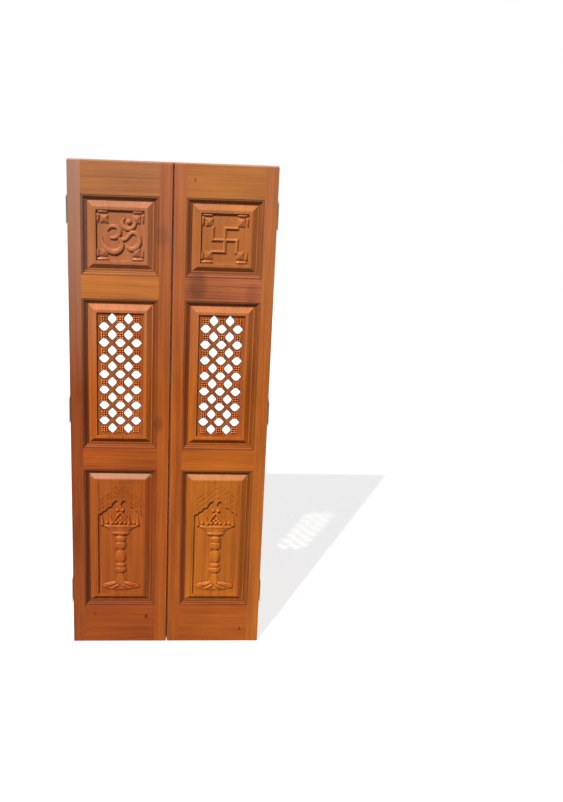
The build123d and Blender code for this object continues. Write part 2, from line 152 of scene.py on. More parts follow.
def block(name, low, high):
    """Block between two corners, in mm."""
    deselect()
    middle = [(a + b) / 2 * MM for a, b in zip(low, high)]
    bpy.ops.mesh.primitive_cube_add(size=1, location=middle,
                                    scale=[(b - a) * MM for a, b in zip(low, high)])
    settle()
    return name_it(name)


def modify(piece, kind, **settings):
    """Adds a modifier and applies it at once."""
    hold(piece)
    modifier = piece.modifiers.new(kind.title(), kind)
    for key, value in settings.items():
        setattr(modifier, key, value)
    bpy.ops.object.modifier_apply(modifier=modifier.name)
    return piece


def soften(piece, width, angle=32, segments=2):
    """Rounds the sharp edges, as scraping and sanding do, and shades the rest smooth."""
    modify(piece, "BEVEL", width=width * MM, segments=segments, limit_method="ANGLE",
           angle_limit=radians(angle), harden_normals=False)
    bpy.ops.object.shade_smooth_by_angle(angle=radians(angle))
    modify(piece, "WEIGHTED_NORMAL", keep_sharp=True, weight=100)
    return piece


def cut(piece, cutter, crossing=False):
    """Takes the cutter's shape out of the piece; its own parts may cross each other."""
    modify(piece, "BOOLEAN", operation="DIFFERENCE", object=cutter, solver="EXACT",
           use_self=crossing)
    bpy.data.objects.remove(cutter)
    return piece


def join(pieces, name):
    """Makes one piece of several."""
    hold(*pieces)
    bpy.ops.object.join()
    return name_it(name)


def copy_of(piece, name, move=(0, 0, 0), mirror=False):
    """Another one with its own mesh, moved in mm and turned left for right if asked."""
    other = bpy.data.objects.new(name, piece.data.copy())
    scene.collection.objects.link(other)
    other.data.name = name
    hold(other)
    if mirror:
        other.scale = (-1, 1, 1)
    other.location = [value * MM for value in move]
    settle()
    if mirror:
        edit(other)
        everything()
        bpy.ops.mesh.flip_normals()
        done()
    return other


def trace(name, points, closed=True):
    """Line or flat shape through points (x, depth, z) in mm."""
    deselect()
    bpy.ops.mesh.primitive_plane_add(size=MM, location=Vector(points[0]) * MM)
    settle()
    bpy.ops.object.mode_set(mode="EDIT")
    bpy.ops.mesh.select_mode(type="VERT")
    everything()
    bpy.ops.mesh.merge(type="CENTER")
    for here, there in zip(points, points[1:]):
        step = (Vector(there) - Vector(here)) * MM
        bpy.ops.mesh.extrude_vertices_move(TRANSFORM_OT_translate={"value": step})
    if closed:
        everything()
        bpy.ops.mesh.edge_face_add()
    done()
    return name_it(name)


def push(name, outline, near, far):
    """Solid whose outline (x, z) runs from one y to another."""
    trace(name, [(x, near, z) for x, z in outline])
    edit(bpy.context.object)
    everything()
    extrude(y=far - near)
    return face_out()


def ridged(name, outline, near, skirt, relief, half):
    """Outline standing up by its skirt, with a ridge of that relief along its middle.

    half is the half width of the bar, or a little less to leave a flat on the ridge.
    """
    trace(name, [(x, near, z) for x, z in outline])
    edit(bpy.context.object)
    everything()
    extrude(y=-skirt)
    bpy.ops.mesh.inset(thickness=half * MM)
    bpy.ops.transform.translate(value=(0, -relief * MM, 0))
    return face_out()


def stroke(name, points, ground, rise):
    """Rounded stroke through (x, z, half width) about that y, its depth scaled by rise."""
    line = trace(name, [(x, ground, z) for x, z, _ in points], closed=False)
    hold(line)
    bpy.ops.object.convert(target="CURVE")
    line = bpy.context.object
    bpy.ops.object.mode_set(mode="EDIT")
    bpy.ops.curve.select_all(action="SELECT")
    bpy.ops.curve.spline_type_set(type="BEZIER")
    bpy.ops.curve.handle_type_set(type="AUTOMATIC")
    bpy.ops.object.mode_set(mode="OBJECT")
    for point in line.data.splines[0].bezier_points:
        near = min(points, key=lambda p: hypot(p[0] * MM - point.co.x, p[1] * MM - point.co.z))
        point.radius = near[2] * MM
    line.data.resolution_u = 8
    line.data.bevel_depth = 1.0
    line.data.bevel_resolution = 6
    line.data.use_fill_caps = True
    bpy.ops.object.convert(target="MESH")
    line = bpy.context.object
    edit(line)
    everything()
    bpy.ops.transform.resize(value=(1, rise, 1), center_override=(0, ground * MM, 0))
    done()
    return name_it(name)


def ball(name, x, y, z, radius, depth):
    """Ball of another radius in depth than across."""
    deselect()
    bpy.ops.mesh.primitive_uv_sphere_add(segments=20, ring_count=12, radius=1,
                                         location=(x * MM, y * MM, z * MM),
                                         scale=(radius * MM, depth * MM, radius * MM))
    settle()
    return name_it(name)


def bead(name, x, y, z, radius, depth):
    """Small half ball, cut with a few strokes."""
    deselect()
    bpy.ops.mesh.primitive_ico_sphere_add(subdivisions=2, radius=1,
                                          location=(x * MM, y * MM, z * MM),
                                          scale=(radius * MM, depth * MM, radius * MM))
    settle()
    edit(bpy.context.object)
    everything()
    bpy.ops.mesh.bisect(plane_co=(0, (y + 1.2) * MM, 0), plane_no=(0, 1, 0), clear_outer=True,
                        use_fill=True)
    done()
    return name_it(name)


def leaf(name, root, tip, width, rise, ground):
    """Pointed leaf from root to tip (x, z), widest near its root, with a ridge along it."""
    deselect()
    length = hypot(tip[0] - root[0], tip[1] - root[1])
    turn = atan2(tip[1] - root[1], tip[0] - root[0])
    steps = 8
    bpy.ops.mesh.primitive_grid_add(x_subdivisions=steps, y_subdivisions=2, size=1)
    leaf_piece = settle((length * MM, width * MM, 1))
    edit(leaf_piece)
    for step in range(steps + 1):
        run = step / steps
        x = (run - 0.5) * length * MM
        full = sin(pi * run ** 0.7) ** 0.8 if 0 < run < 1 else 0.02
        pick("VERT", lambda v: abs(v.co.x - x) < 1e-6)
        bpy.ops.transform.resize(value=(1, full, 1), center_override=(x, 0, 0))
        pick("VERT", lambda v: abs(v.co.x - x) < 1e-6 and abs(v.co.y) < 1e-6)
        bpy.ops.transform.translate(value=(0, 0, rise * full * MM))
    everything()
    extrude(z=2.2)
    done()
    hold(leaf_piece)
    middle = ((root[0] + tip[0]) / 2 * MM, (ground + 1) * MM, (root[1] + tip[1]) / 2 * MM)
    leaf_piece.matrix_world = (Matrix.Translation(middle)
                               @ Matrix.Rotation(-turn, 4, "Y")
                               @ Matrix.Rotation(radians(90), 4, "X"))
    settle()
    edit(leaf_piece)
    everything()
    bpy.ops.mesh.remove_doubles(threshold=0.05 * MM)
    face_out()
    return name_it(name)


def fuse(pieces, name, voxel, ground, smooth):
    """Melts pieces into one carved form and takes away what lies below the ground."""
    piece = join(pieces, name)
    modify(piece, "REMESH", mode="VOXEL", voxel_size=voxel * MM)
    modify(piece, "SMOOTH", factor=0.5, iterations=smooth)
    edit(piece)
    everything()
    bpy.ops.mesh.bisect(plane_co=(0, (ground + 0.4) * MM, 0), plane_no=(0, 1, 0),
                        clear_outer=True, use_fill=True)
    done()
    hold(piece)
    bpy.ops.object.shade_smooth()
    return piece


# Materials

def linear(code):
    """sRGB hex to the linear colour that Blender reads."""
    parts = [int(code[i:i + 2], 16) / 255 for i in (1, 3, 5)]
    return [c / 12.92 if c <= 0.04045 else ((c + 0.055) / 1.055) ** 2.4 for c in parts] + [1.0]


def add(tree, kind, inputs=None, stops=None, **fields):
    """Adds a node with its settings; an input is a value or another node's output."""
    node = tree.nodes.new("ShaderNode" + kind)
    for key, value in fields.items():
        setattr(node, key, value)
    for key, value in (inputs or {}).items():
        if isinstance(value, bpy.types.NodeSocket):
            tree.links.new(value, node.inputs[key])
        else:
            node.inputs[key].default_value = value
    if stops:
        ramp = node.color_ramp
        while len(ramp.elements) < len(stops):
            ramp.elements.new(1.0)
        for element, (position, colour) in zip(ramp.elements, stops):
            element.position = position
            element.color = linear(colour) if isinstance(colour, str) else [colour] * 3 + [1]
    return node


def fresh(name):
    """New material and its empty node tree."""
    material = bpy.data.materials.new(name)
    material.use_nodes = True
    tree = material.node_tree
    tree.nodes.clear()
    return material, tree


def teak(name, deep, mid, pale, shift, level=False, rings=0.12, knots=(), painted_top_sheen=0.0,
         painted_bevel_sheen=None, painted_shading=None):
    """Oiled and polished teak, planed by hand: long brown streaks with a soft wandering
    figure, fine darker pores along the grain, and a thin coat of polish that shines softly.
    The grain runs up a stile or panel and, where it is level, across a rail.

    shift: where in the log the board lies. rings: how much the year rings show.
    knots: dark spots (x, z, radius, strength). bleach: painted reflection, paler towards the
    top.
    sheen: painted reflection (lowest z, highest z, strength). tones: painted shade and
    highlight, pairs (y, brightness).
    """
    material, tree = fresh(name)
    place = add(tree, "TexCoord").outputs["Object"]
    grain = add(tree, "Mapping", {"Vector": place,
                                  "Rotation": (0, radians(90) if level else 0, 0),
                                  "Location": [s * MM for s in shift]}).outputs["Vector"]
    # The grain wanders by about 12 mm in each half metre
    slow = add(tree, "Mapping", {"Vector": grain, "Scale": (5.0, 5.0, 1.6)}).outputs["Vector"]
    wander = add(tree, "TexNoise", {"Vector": slow, "Scale": 1.0, "Detail": 2.0})
    shake = add(tree, "VectorMath", {0: wander.outputs["Color"], 1: (0.5, 0.5, 0.5)},
                operation="SUBTRACT")
    bent = add(tree, "VectorMath", {0: shake.outputs["Vector"], 1: (0.030, 0.030, 0.0),
                                    2: grain}, operation="MULTIPLY_ADD").outputs["Vector"]
    # Streaks 9 to 20 mm wide and about 400 mm long
    long_way = add(tree, "Mapping", {"Vector": bent, "Scale": (58.0, 58.0, 2.4)})
    streak = add(tree, "TexNoise", {"Vector": long_way.outputs["Vector"], "Scale": 1.0,
                                    "Detail": 3.0, "Roughness": 0.52}).outputs["Fac"]
    # Year rings about 11 mm apart round the grain, which wander into long arches
    ring = add(tree, "TexWave", {"Vector": bent, "Scale": 27.0, "Distortion": 2.6,
                                 "Detail": 3.0, "Detail Scale": 1.4}, wave_type="RINGS",
               rings_direction="Z", wave_profile="SIN").outputs["Fac"]
    mixed = add(tree, "Mix", {"Factor": rings, "A": streak, "B": ring}).outputs["Result"]
    colour = add(tree, "ValToRGB", {"Fac": mixed},
                 stops=[(0.06, deep), (0.50, mid), (0.94, pale)]).outputs["Color"]
    # Slow change of tone over about 300 mm
    broad = add(tree, "Mapping", {"Vector": grain, "Scale": (7.0, 7.0, 3.0)})
    cloud = add(tree, "TexNoise", {"Vector": broad.outputs["Vector"], "Scale": 1.0,
                                   "Detail": 2.0}).outputs["Fac"]
    tone = add(tree, "MapRange", {"Value": cloud, "From Min": 0.3, "From Max": 0.7,
                                  "To Min": 0.85, "To Max": 1.1})
    colour = add(tree, "VectorMath", {0: colour, "Scale": tone.outputs["Result"]},
                 operation="SCALE").outputs["Vector"]
    # Pores: dark flecks, real ones 0.3 mm wide, drawn 1.4 mm wide and 45 mm long to show
    fine = add(tree, "Mapping", {"Vector": bent, "Scale": (700.0, 700.0, 22.0)})
    pore = add(tree, "TexNoise", {"Vector": fine.outputs["Vector"], "Scale": 1.0,
                                  "Detail": 2.0, "Roughness": 0.7}).outputs["Fac"]
    fleck = add(tree, "MapRange", {"Value": pore, "From Min": 0.42, "From Max": 0.66,
                                   "To Min": 0.0, "To Max": 0.14}).outputs["Result"]
    colour = add(tree, "Mix", {"Factor": fleck, "A": colour, "B": linear(deep)},
                 data_type="RGBA").outputs["Result"]
    for x, z, radius, strength in knots:
        away = add(tree, "Mapping", {"Vector": place, "Location": (-x * MM, 0, -z * MM)})
        flat = add(tree, "VectorMath", {0: away.outputs["Vector"], 1: (1.0, 0.0, 0.6)},
                   operation="MULTIPLY").outputs["Vector"]
        reach = add(tree, "VectorMath", {0: flat}, operation="LENGTH").outputs["Value"]
        spot = add(tree, "MapRange", {"Value": reach, "From Min": radius * 0.35 * MM,
                                      "From Max": radius * MM, "To Min": strength,
                                      "To Max": 0.0},
                   interpolation_type="SMOOTHSTEP").outputs["Result"]
        colour = add(tree, "Mix", {"Factor": spot, "A": colour, "B": linear("#2E0F04")},
                     data_type="RGBA").outputs["Result"]
    axes = add(tree, "SeparateXYZ", {0: place})
    height, depth = axes.outputs["Z"], axes.outputs["Y"]
    if painted_top_sheen:
        # Painted reflection: the colour turns pale towards the top, standing in for the sky
        # that the gloss mirrors there
        top_sheen_mix = add(tree, "MapRange", {"Value": height, "From Min": 1.1, "From Max": 2.0,
                                      "To Min": 0.0, "To Max": painted_top_sheen}).outputs["Result"]
        colour = add(tree, "Mix", {"Factor": top_sheen_mix, "A": colour, "B": linear("#DDB79E")},
                     data_type="RGBA").outputs["Result"]
    if painted_bevel_sheen:
        # Painted reflection of the sky: a pale band between two heights, on a bevel that faces
        # up
        low, high, strength = painted_bevel_sheen
        above = add(tree, "MapRange", {"Value": height, "From Min": (low - 1) * MM,
                                       "From Max": low * MM}).outputs["Result"]
        below = add(tree, "MapRange", {"Value": height, "From Min": high * MM,
                                       "From Max": (high + 1) * MM, "To Min": strength,
                                       "To Max": 0.0}).outputs["Result"]
        band = add(tree, "Math", {0: above, 1: below}, operation="MULTIPLY").outputs["Value"]
        colour = add(tree, "Mix", {"Factor": band, "A": colour, "B": linear("#B4906C")},
                     data_type="RGBA").outputs["Result"]
    if painted_shading:
        # Painted shade and highlight by depth in mm: darker where the surface lies deep,
        # brighter on the high places
        near, far = painted_shading[0][0], painted_shading[-1][0]
        reach = add(tree, "MapRange", {"Value": depth, "From Min": near * MM,
                                       "From Max": far * MM}).outputs["Result"]
        tone = add(tree, "ValToRGB", {"Fac": reach},
                   stops=[((at - near) / (far - near), float(value)) for at, value in painted_shading])
        colour = add(tree, "VectorMath", {0: colour, 1: tone.outputs["Color"]},
                     operation="MULTIPLY").outputs["Vector"]
    rough = add(tree, "MapRange", {"Value": pore, "From Min": 0.3, "From Max": 0.7,
                                   "To Min": 0.33, "To Max": 0.46})
    # The scraper leaves waves of 25 mm, a few hundredths of a millimetre deep
    waves = add(tree, "TexNoise", {"Vector": grain, "Scale": 40.0, "Detail": 1.0})
    hollow = add(tree, "Bump", {"Strength": 0.35, "Distance": 0.0004,
                                "Height": waves.outputs["Fac"]})
    bump = add(tree, "Bump", {"Strength": 0.30, "Distance": 0.0002, "Height": pore,
                              "Normal": hollow.outputs["Normal"]})
    shader = add(tree, "BsdfPrincipled",
                 {"Base Color": colour, "Roughness": rough.outputs["Result"], "IOR": 1.40,
                  "Specular IOR Level": 0.27, "Coat Weight": 0.06, "Coat Roughness": 0.24,
                  "Coat IOR": 1.4, "Normal": bump.outputs["Normal"]})
    add(tree, "OutputMaterial", {"Surface": shader.outputs["BSDF"]})
    return material


def brushed_steel(name):
    """Stainless steel hinge, brushed along its plates: fine lines across a soft grey shine."""
    material, tree = fresh(name)
    place = add(tree, "TexCoord").outputs["Object"]
    # Brush lines 0.4 mm apart and 60 mm long
    along = add(tree, "Mapping", {"Vector": place, "Scale": (2500.0, 2500.0, 16.0)})
    lines = add(tree, "TexNoise", {"Vector": along.outputs["Vector"], "Scale": 1.0,
                                   "Detail": 3.0}).outputs["Fac"]
    colour = add(tree, "ValToRGB", {"Fac": lines}, stops=[(0.3, "#A9A8A4"), (0.7, "#CFCDC8")])
    rough = add(tree, "MapRange", {"Value": lines, "To Min": 0.24, "To Max": 0.42})
    bump = add(tree, "Bump", {"Strength": 0.15, "Distance": 0.00005, "Height": lines})
    shader = add(tree, "BsdfPrincipled",
                 {"Base Color": colour.outputs["Color"], "Metallic": 1.0,
                  "Roughness": rough.outputs["Result"], "Normal": bump.outputs["Normal"]})
    add(tree, "OutputMaterial", {"Surface": shader.outputs["BSDF"]})
    return material


def dress(piece, node, material, body):
    """Gives a finished piece its wood or metal and its place on the door."""
    piece.data.materials.clear()
    piece.data.materials.append(material)
    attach(piece, body)
    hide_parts(node)


def scraped(node, name, width):
    """Copy of the node's own shape, with its arrises taken off by that width."""
    piece = bpy.data.objects.new(name, frame["nodes"][node].data.copy())
    scene.collection.objects.link(piece)
    piece.data.name = name
    edit(piece)
    everything()
    bpy.ops.mesh.remove_doubles(threshold=0.01 * MM)
    bpy.ops.mesh.dissolve_limited(angle_limit=radians(1.0))
    done()
    return soften(piece, width)


def leaf_place(side):
    """Middle of the left or right leaf."""
    return (-LEAF_X if side == "left" else LEAF_X, 0, 0)


def close_seam(piece, side):
    """Brings the back of a meeting edge closer to the other leaf, as the wood swells."""
    swelling = 0.32 if side == "left" else -0.32
    edit(piece)
    pick("VERT", lambda v: abs(v.co.x) < 1.2 * MM and v.co.y > 9 * MM)
    bpy.ops.transform.translate(value=(swelling * MM, 0, 0))
    done()


def widen_bevel(piece, side):
    """Draws the outer edge of a lattice frame's crest inwards, so that the bevel is wider."""
    middle = Vector((leaf_place(side)[0], 0, MIDDLE[0])) * MM
    edit(piece)
    pick("VERT", lambda v: v.co.y < (FACE + 3) * MM
         and (abs(v.co.x - middle.x) > 100 * MM or abs(v.co.z - middle.z) > 260 * MM))
    bpy.ops.transform.resize(value=(0.966, 1, 0.987), center_override=middle)
    done()


# Camera, where the photographer stood: in front of the middle and above the head

CAMERA_PLACE = (0.0194, -4.1124, 2.5966)         # metres
CAMERA_TURN = (69.726, -2.838, -4.716)           # degrees
CAMERA_LENS = 50.44

bpy.ops.object.camera_add(location=CAMERA_PLACE, rotation=[radians(a) for a in CAMERA_TURN])
camera = bpy.context.object
camera.data.lens = CAMERA_LENS
camera.data.dof.use_dof = False
scene.camera = camera

# Stiles, rails and lattice frames: one board each, so each has its own grain

BOARDS = {
    "left_hinge_stile": dict(deep="#662A10", mid="#92451A", pale="#AE5E28", shift=(40, 15, 0),
                             painted_top_sheen=0.42),
    "left_meeting_stile": dict(deep="#7E3412", mid="#AE561B", pale="#C76C24",
                               shift=(90, 70, 300), painted_top_sheen=0.13,
                               knots=((-38, 1715, 34, 0.30), (-44, 975, 26, 0.35))),
    "right_meeting_stile": dict(deep="#7E3612", mid="#AF581C", pale="#C86E24",
                                shift=(-60, 33, 900), painted_top_sheen=0.13),
    "right_hinge_stile": dict(deep="#863D16", mid="#B66221", pale="#D0792B",
                              shift=(-130, 88, 100), painted_top_sheen=0.12),
    "left_bottom_rail": dict(deep="#742D11", mid="#A14A18", pale="#B85D20", level=True,
                             shift=(30, 60, 20),
                             knots=((-84, 118, 9, 0.7), (-292, 130, 5, 0.6))),
    "left_lock_rail": dict(deep="#7C3211", mid="#AC5219", pale="#C36520", level=True,
                           shift=(80, 20, 50)),
    "left_frieze_rail": dict(deep="#8E4314", mid="#C26C1B", pale="#DC8324", level=True,
                             shift=(10, 90, 70), painted_top_sheen=0.16),
    "left_top_rail": dict(deep="#7C3A14", mid="#AC601E", pale="#C2762C", level=True,
                          shift=(55, 44, 10), painted_top_sheen=0.15),
    "right_bottom_rail": dict(deep="#7C3311", mid="#AC5419", pale="#C36620", level=True,
                              shift=(20, 35, 80), knots=((305, 58, 7, 0.6),)),
    "right_lock_rail": dict(deep="#863A16", mid="#B65E1C", pale="#CF7424", level=True,
                            shift=(70, 70, 35)),
    "right_frieze_rail": dict(deep="#683220", mid="#AC5C32", pale="#CA7640", level=True,
                              shift=(15, 52, 90), rings=0.2, painted_top_sheen=0.06,
                              knots=((96, 1530, 46, 0.42), (300, 1505, 34, 0.25))),
    "right_top_rail": dict(deep="#844018", mid="#B46820", pale="#CC7E2C", level=True,
                           shift=(45, 10, 60), knots=((78, 1925, 6, 0.6),), painted_top_sheen=0.09),
    "left_lattice_frame": dict(deep="#883A15", mid="#BA5F1C", pale="#D47424", shift=(66, 7, 40),
                               painted_top_sheen=0.35),
    "right_lattice_frame": dict(deep="#8C3E15", mid="#BE651C", pale="#D87A24",
                                shift=(22, 77, 10), painted_top_sheen=0.25),
}

# Depth below the face and painted shade: dark in the quirk, the step and the foot of the
# moulding
MOULDING_SHADE = [(0.8, 1.0), (2.2, 0.5), (4.5, 0.95), (7.2, 0.85), (8.6, 0.42), (10.6, 0.8),
            (12.6, 0.42), (15, 0.42), (18, 1.0)]

for node, look in BOARDS.items():
    side = node.split("_")[0]
    piece = scraped(node, node + "_teak", 0.7)
    if node.endswith("meeting_stile"):
        close_seam(piece, side)
    if node.endswith("lattice_frame"):
        widen_bevel(piece, side)
        moulding_shade = None
    else:
        moulding_shade = [(FACE + depth, tone) for depth, tone in MOULDING_SHADE]
    wood = teak("teak_" + node, painted_shading=moulding_shade, **look)
    dress(piece, node, wood, side + "_leaf")


# Raised boards

TONGUE_FRONT, TONGUE_BACK = 16.2, 21.8     # depth of the tongue's faces below the face
TONGUE_HALF_WIDTH = 131.0
TONGUE_SHORTER = 23.0                      # than the opening, which takes in its mouldings
TONGUE_LOW = 1.0                           # a board stands this much low in its opening
TONGUE_SHOWS = 12.6                        # flat of the tongue outside the bevel
BOARD_RISE = 14.2                          # crest above the tongue
CREST_AND_SLOPE = 30.2                     # bevel and flat crest together
SKY_BEVEL = (40.0, 21.0)                   # a top bevel's edges, from the opening's top edge


def raised_board(name, middle_z, height, slope):
    """Board about x = 0 with its tongue, bevelled and raised on both faces."""
    middle = middle_z - TONGUE_LOW
    half_height = (height - TONGUE_SHORTER) / 2
    piece = block(name, (-TONGUE_HALF_WIDTH, FACE + TONGUE_FRONT, middle - half_height),
                  (TONGUE_HALF_WIDTH, FACE + TONGUE_BACK, middle + half_height))
    for sign in (-1, 1):
        edit(piece)
        pick("FACE", lambda f: f.normal.y * sign > 0.9)
        bpy.ops.mesh.inset(thickness=TONGUE_SHOWS * MM)
        bpy.ops.transform.translate(value=(0, 0, TONGUE_LOW * MM))
        bpy.ops.mesh.inset(thickness=slope * MM, depth=BOARD_RISE * MM)
        if sign < 0:
            bpy.ops.mesh.inset(thickness=(CREST_AND_SLOPE - slope) * MM)
        done()
    return piece


def pick_field(middle_z):
    """Selects the face inside the crest on the front of a board."""
    middle = Vector((0, middle_z * MM))
    pick("FACE", lambda f: f.normal.y < -0.9
         and (f.calc_center_median().xz - middle).length < 3 * MM)


def relief_shade(ground):
    """Painted shading of standing carving: painted shade at its foot, painted highlight on its
    crests.
    """
    return ((ground - 0.1, 0.40), (ground - 1.6, 0.90), (ground - 5.5, 1.12))


# Om and swastika panels

def corner_leaves(ground, top, name):
    """Flower in the upper left corner of the sunk square: two long leaves and a petal."""
    left, head = -FIELD / 2, top
    shapes = [
        ([(2, -7), (13, -1), (35, -1), (47, -6), (36, -13), (15, -13)], 5.7, 4.0),
        ([(1.5, -17), (8, -14), (13, -20), (12, -38), (6, -50), (1.5, -38)], 5.0, 4.0),
        ([(15, -20), (29, -18), (44, -20), (42, -34), (44, -50), (29, -47), (15, -49),
          (17, -34)], 11.5, 5.0)]
    pieces = [ridged(name + str(i), [(left + x, head + z) for x, z in shape], ground + 0.5,
                     5.0, relief, half)
              for i, (shape, half, relief) in enumerate(shapes)]
    return join(pieces, name)


def square_board(name, middle_z, height):
    """Raised board with its field sunk as a square."""
    piece = raised_board(name, middle_z, height, slope=19.0)
    edit(piece)
    pick_field(middle_z)
    bpy.ops.mesh.inset(thickness=0.6 * MM, depth=-11 * MM)
    done()
    return soften(piece, 0.8)


# Strokes of the om: (x, z, half width) from the middle of the square
OM_STROKES = [
    [(-47, 17, 3), (-40, 29, 6), (-25, 35, 7.5), (-10, 30, 8), (-3, 15, 8.5), (-8, 1, 8),
     (-20, -7, 7.5), (-38, -9, 4.5)],
    [(-69, 0, 1.5), (-66, -23, 5.5), (-56, -43, 9), (-40, -56, 11.5), (-19, -60, 12),
     (-2, -52, 10.5), (6, -38, 8), (3, -23, 6.5), (-6, -13, 5.5)],
    [(-6, -12, 6), (16, -13, 7), (28, -2, 7), (38, 10, 7.5), (51, 13, 8), (63, 5, 8.5),
     (69, -12, 8.5), (67, -30, 9), (57, -43, 10), (41, -49, 10), (27, -42, 7), (18, -30, 2)],
    [(18, 67, 1.5), (9, 58, 5), (7, 44, 7.5), (15, 32, 8.5), (31, 26, 8.5), (46, 33, 7.5),
     (55, 49, 5.5), (62, 64, 1.5)],
]
OM_DOT = (31, 53)
SWASTIKA_BAR = 6.5               # half the width of its bars
SWASTIKA_REACH = 51.0
SWASTIKA_LOW = 4.5               # its middle below the middle of the square

ground = FACE + RECESS
square_z = UPPER[0]
square_top = UPPER[0] + UPPER[1] / 2 - CREST_END

om_board = square_board("om_board", *UPPER)
upper_leaves = corner_leaves(ground, square_top, "corner_leaves")
leaves = [upper_leaves, copy_of(upper_leaves, "corner_right", mirror=True)]
both = join(leaves, "leaf_pair")
lower_pair = copy_of(both, "leaf_pair_below")
edit(lower_pair)
everything()
bpy.ops.transform.resize(value=(1, 1, -1), center_override=(0, 0, square_z * MM))
bpy.ops.mesh.flip_normals()
done()
flowers = join([both, lower_pair], "corner_flowers")
soften(flowers, 0.5, angle=25)
swastika_board = join([copy_of(om_board, "swastika_board"), copy_of(flowers, "more_flowers")],
                      "swastika_board")
om_board = join([om_board, flowers], "om_board")

parts = [stroke("stroke%d" % i, [(x, z + square_z, half) for x, z, half in points],
                ground - 4, 0.6) for i, points in enumerate(OM_STROKES)]
parts.append(ball("dot", OM_DOT[0], ground - 3, OM_DOT[1] + square_z, 10, 8))
om_sign = fuse(parts, "om_sign", 0.9, ground, smooth=3)

arm = [(-SWASTIKA_BAR, SWASTIKA_BAR), (-SWASTIKA_BAR, SWASTIKA_REACH),
       (SWASTIKA_REACH, SWASTIKA_REACH), (SWASTIKA_REACH, SWASTIKA_REACH - 2 * SWASTIKA_BAR),
       (SWASTIKA_BAR, SWASTIKA_REACH - 2 * SWASTIKA_BAR)]
outline = []
for _ in range(4):
    outline += arm
    arm = [(z, -x) for x, z in arm]
swastika_sign = ridged("swastika_sign",
                       [(x, z + square_z - SWASTIKA_LOW) for x, z in outline],
                       ground + 0.5, 4.5, 5.0, SWASTIKA_BAR - 0.3)
soften(swastika_sign, 0.5, angle=25)

om_look = dict(deep="#944C2C", mid="#B26738", pale="#C07642", shift=(33, 5, 70), painted_top_sheen=0.10)
swastika_look = dict(deep="#92481C", mid="#B26424", pale="#C0722C", shift=(-80, 25, 20),
                     painted_top_sheen=0.08)
for board, sign, node, side, look in (
        (om_board, om_sign, "om_panel", "left", om_look),
        (swastika_board, swastika_sign, "swastika_panel", "right", swastika_look)):
    place = leaf_place(side)
    flat_wood = teak("teak_" + node, **look)
    sign_wood = teak("teak_" + node + "_sign", painted_shading=relief_shade(ground), **look)
    dress(copy_of(board, node + "_board", place), node, flat_wood,
          side + "_leaf")
    dress(copy_of(sign, node + "_sign", place), node, sign_wood,
          side + "_leaf")
    bpy.data.objects.remove(board)
    bpy.data.objects.remove(sign)


# Lamp panels

ARCH_DROP = 79.97938             # from the top of the field to the arch's highest point
CROWN = LOWER[0] + LOWER[1] / 2 - CREST_END - ARCH_DROP
# Edge of the scalloped arch: (x, drop below the crown)
ARCH = [(0, 22), (4, 12), (9, 4), (15, 0), (24, 6), (32, 15), (34, 23), (39, 29), (47, 31),
        (54, 36), (57, 43), (63, 47), (70, 50), (76, 58), (FIELD / 2, 64)]
# Turned body of the lamp, from the rim of its bowl down: (drop, half width, relief)
LAMP = [
    (112, 66, 6), (115, 70, 9), (120, 71, 10), (125, 62, 8), (137, 42, 8), (142, 34, 8),
    (144, 37, 10.5), (150, 38, 11), (154, 34, 10), (156, 13, 6), (163, 14, 6), (166, 21, 9),
    (170, 23, 10.5), (184, 22, 10), (188, 15, 6), (192, 23, 10.5), (206, 25, 11),
    (216, 22, 10), (219, 11, 6), (228, 11, 6), (232, 17, 8), (240, 21, 9.5), (256, 24, 11),
    (272, 22, 10), (283, 12, 6), (286, 20, 10), (293, 23, 11), (301, 20, 10), (303, 14, 6),
    (306, 23, 10.5), (314, 26, 11), (322, 23, 10.5), (329, 12, 6), (336, 11, 6), (339, 14, 7),
    (372, 25, 9), (380, 29, 9),
]


def turned_body(name, levels, ground):
    """Half-round body drawn up level by level: drop below the crown, half width, relief."""
    deselect()
    drop, half, relief = levels[0]
    bpy.ops.mesh.primitive_circle_add(vertices=32, radius=1, fill_type="NGON",
                                      location=(0, ground * MM, (CROWN - drop) * MM))
    settle((half * MM, relief * MM, 1))
    edit(bpy.context.object)
    everything()
    for drop_now, half_now, relief_now in levels[1:]:
        extrude(z=drop - drop_now)
        bpy.ops.transform.resize(value=(half_now / half, relief_now / relief, 1),
                                 center_override=(0, ground * MM, (CROWN - drop_now) * MM))
        drop, half, relief = drop_now, half_now, relief_now
    face_out()
    return name_it(name)


# Everything on the lamp is given by its x and its drop below the crown
FLAMES_X = (-72, -37, 34, 69)
FLAME_DROP = 90
HOOD_BALLS_X = (-12, 9)
HOOD_LEFT = [(-1, 56, 5), (-14, 74, 5.5), (-24, 92, 5.5), (-30, 106, 4)]
HOOD_RIGHT = [(1, 56, 5), (14, 70, 5.5), (24, 84, 5.5), (32, 104, 4)]
BUD_PITCH = 18
SEEDS = ((-8, 92), (3, 84), (10, 92), (0, 102))
FOOT = [(-26, 378), (-77, 384), (-80, 392), (-66, 399), (-34, 405), (0, 407),
        (34, 405), (66, 399), (80, 392), (77, 384), (26, 378)]
# Petals of the foot: x and drop of the root, x and drop of the tip, width
PETALS = ((12, 372, 72, 394, 20), (2, 380, 38, 404, 18), (22, 372, 80, 385, 12))

